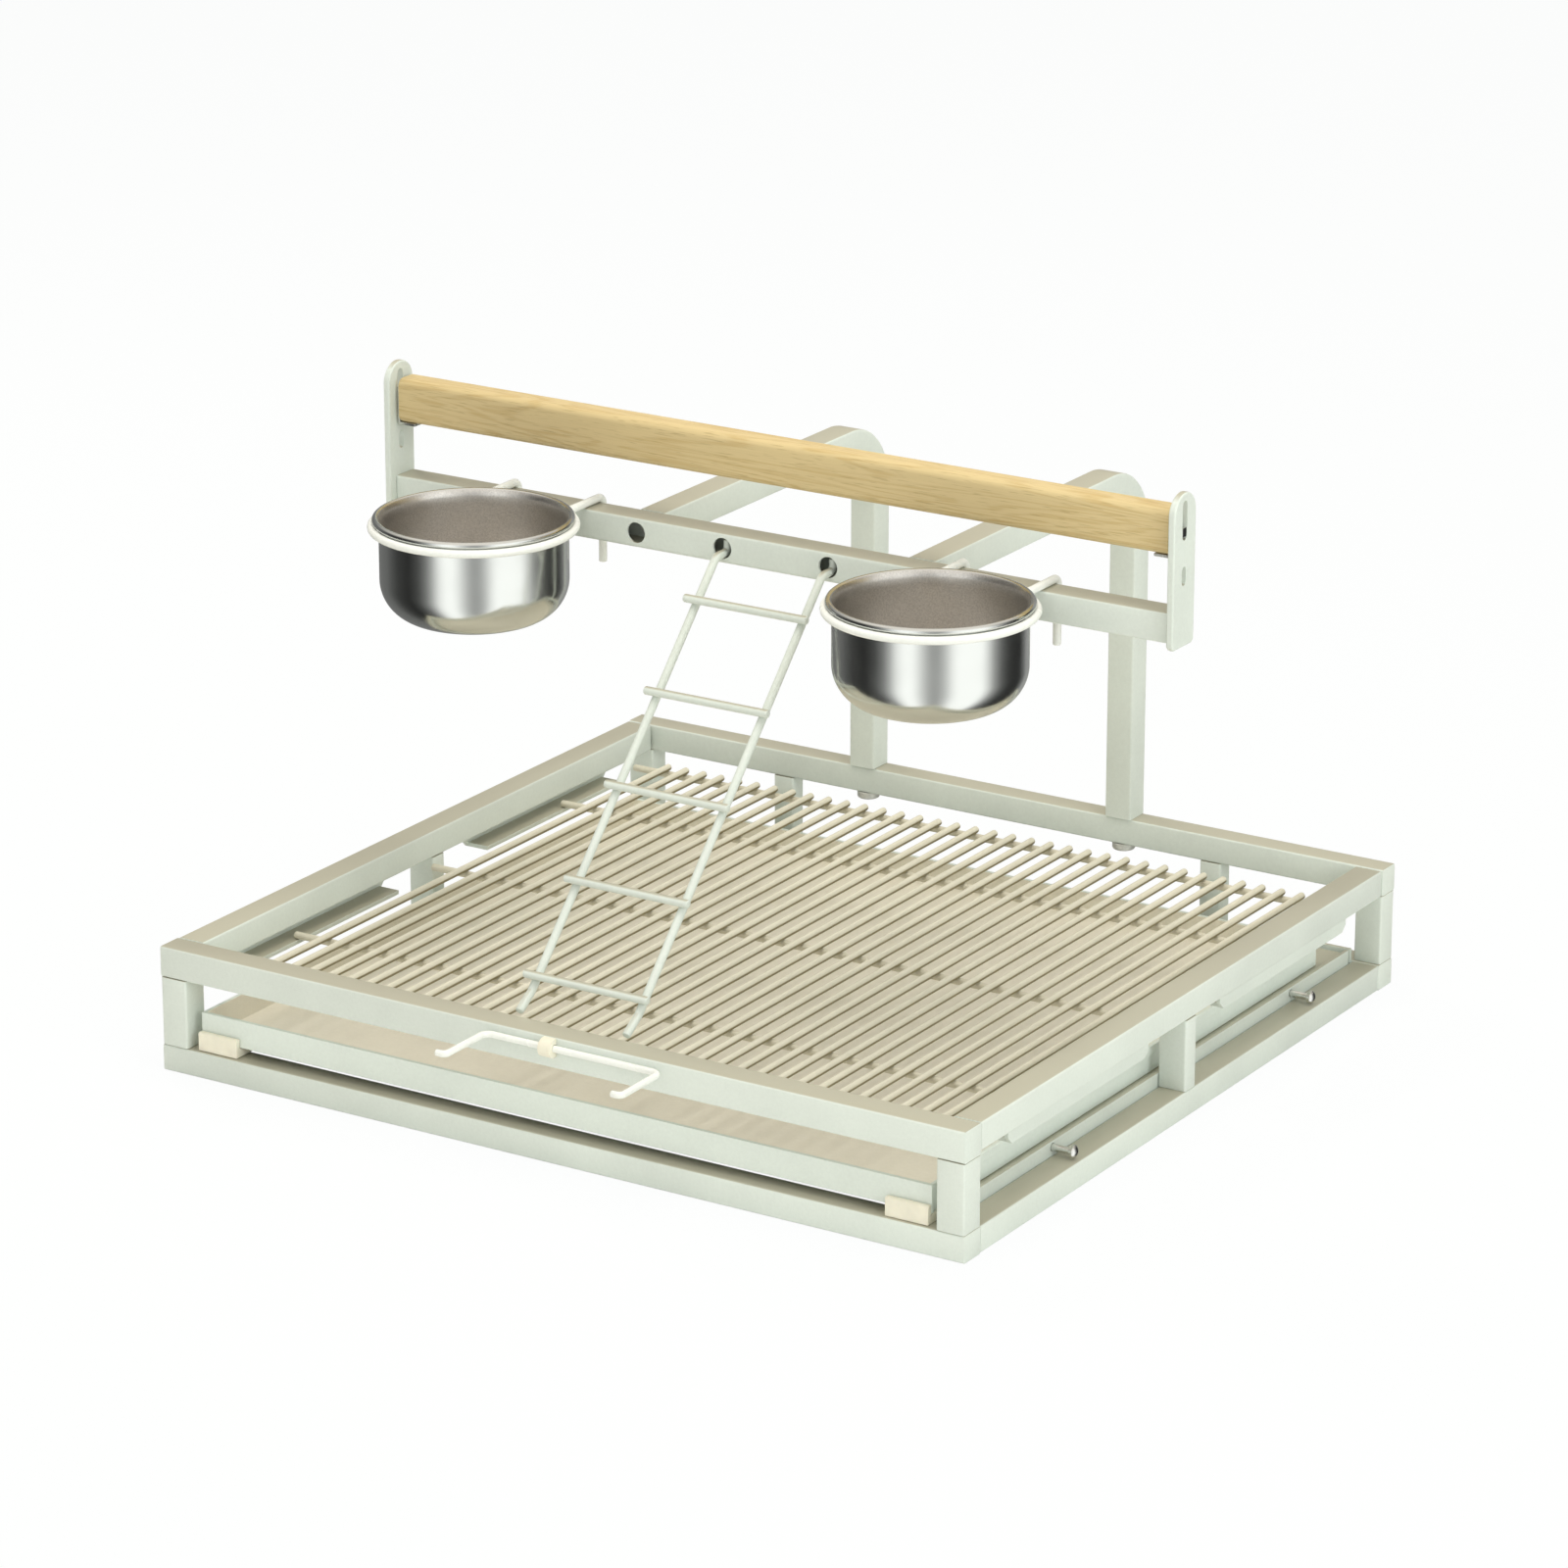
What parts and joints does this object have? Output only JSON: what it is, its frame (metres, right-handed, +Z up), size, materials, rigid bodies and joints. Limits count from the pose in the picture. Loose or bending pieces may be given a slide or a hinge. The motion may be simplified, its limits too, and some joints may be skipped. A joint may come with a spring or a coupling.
{
  "type": "parrot play stand",
  "caption": "Tabletop bird play stand: low tube base with slide-out tray under a wire grate, swept uprights, wooden perch, feeding cups in wire rings and a ladder.",
  "frame": {"origin": "On the ground plane, under the middle of the bounding box, front wire bail included.", "axes": "+X to the stand's right seen from the front, +Y to the back, +Z up. The front, with the ladder's feet and the tray face, looks along -Y."},
  "size_m": [0.61, 0.623, 0.42],
  "materials": {
    "enamel": "satin pale grey-green enamel",
    "grate_enamel": "satin warm cream enamel",
    "tray_enamel": "smooth pale green-white enamel",
    "wire_enamel": "bright white-grey wire coating",
    "polished_steel": "mirror polished stainless steel",
    "bolt_steel": "plated bolt steel",
    "dark_steel": "dark oxide steel",
    "oak": "sanded light oak",
    "cream_plastic": "moulded cream plastic"
  },
  "bodies": {
    "base": {"base_top_rail_front": "enamel", "base_top_rail_back": "enamel", "base_bottom_rail_front": "enamel", "base_bottom_rail_back": "enamel", "base_top_rail_left": "enamel", "base_bottom_rail_left": "enamel", "base_corner_post_front_left": "enamel", "base_corner_post_back_left": "enamel", "base_side_post_left": "enamel", "base_back_post_left": "enamel", "tray_runner_left": "enamel", "grate_ledge_front_left": "enamel", "grate_ledge_back_left": "enamel", "upright_left": "enamel", "end_plate_left": "enamel", "base_top_rail_right": "enamel", "base_bottom_rail_right": "enamel", "base_corner_post_front_right": "enamel", "base_corner_post_back_right": "enamel", "base_side_post_right": "enamel", "base_back_post_right": "enamel", "tray_runner_right": "enamel", "grate_ledge_front_right": "enamel", "grate_ledge_back_right": "enamel", "upright_right": "enamel", "end_plate_right": "enamel", "tray_stop": "enamel", "cross_bar": "enamel", "upright_bolt_left": "bolt_steel", "upright_bolt_right": "bolt_steel", "bar_bolt_left": "bolt_steel", "bar_bolt_right": "bolt_steel", "runner_bolt_front_left": "bolt_steel", "runner_bolt_front_right": "bolt_steel", "runner_bolt_back_left": "bolt_steel", "runner_bolt_back_right": "bolt_steel", "bail_clip": "cream_plastic"},
    "tray": {"tray": "tray_enamel", "tray_glide_left": "cream_plastic", "tray_glide_right": "cream_plastic"},
    "grate": {"grate": "grate_enamel"},
    "perch": {"perch": "oak", "perch_bracket_left": "dark_steel", "perch_bracket_right": "dark_steel"},
    "ladder": {"ladder_stile_left": "enamel", "ladder_stile_right": "enamel", "ladder_rung_1": "enamel", "ladder_rung_2": "enamel", "ladder_rung_3": "enamel", "ladder_rung_4": "enamel", "ladder_rung_5": "enamel"},
    "cup_holder_left": {"cup_holder_left": "wire_enamel"},
    "cup_holder_right": {"cup_holder_right": "wire_enamel"},
    "cup_left": {"cup_left": "polished_steel"},
    "cup_right": {"cup_right": "polished_steel"},
    "front_bail": {"front_bail": "wire_enamel"}
  },
  "joints": [
    {"name": "tray_slide", "type": "slide", "parent": "base", "child": "tray", "axis": [0, -1, 0], "range_m": [0, 0.48]},
    {"name": "grate_lift", "type": "slide", "parent": "base", "child": "grate", "axis": [0, 0, 1], "range_m": [0, 0.012]},
    {"name": "perch_lift", "type": "slide", "parent": "base", "child": "perch", "axis": [0, 0, 1], "range_m": [0, 0.015]},
    {"name": "ladder_swing", "type": "hinge", "parent": "base", "child": "ladder", "pos_m": [0.0015, 0.00634, 0.3281], "axis": [-1, 0, 0], "range_deg": [0, 20]},
    {"name": "cup_holder_slide_left", "type": "slide", "parent": "base", "child": "cup_holder_left", "axis": [1, 0, 0], "range_m": [-0.07, 0.025]},
    {"name": "cup_holder_slide_right", "type": "slide", "parent": "base", "child": "cup_holder_right", "axis": [1, 0, 0], "range_m": [-0.015, 0.08]},
    {"name": "cup_lift_left", "type": "slide", "parent": "cup_holder_left", "child": "cup_left", "axis": [0, 0, 1], "range_m": [0, 0.06]},
    {"name": "cup_lift_right", "type": "slide", "parent": "cup_holder_right", "child": "cup_right", "axis": [0, 0, 1], "range_m": [0, 0.06]},
    {"name": "bail_swing", "type": "hinge", "parent": "base", "child": "front_bail", "pos_m": [0.021, -0.26501, 0.08], "axis": [-1, 0, 0], "range_deg": [0, 90]}
  ]
}
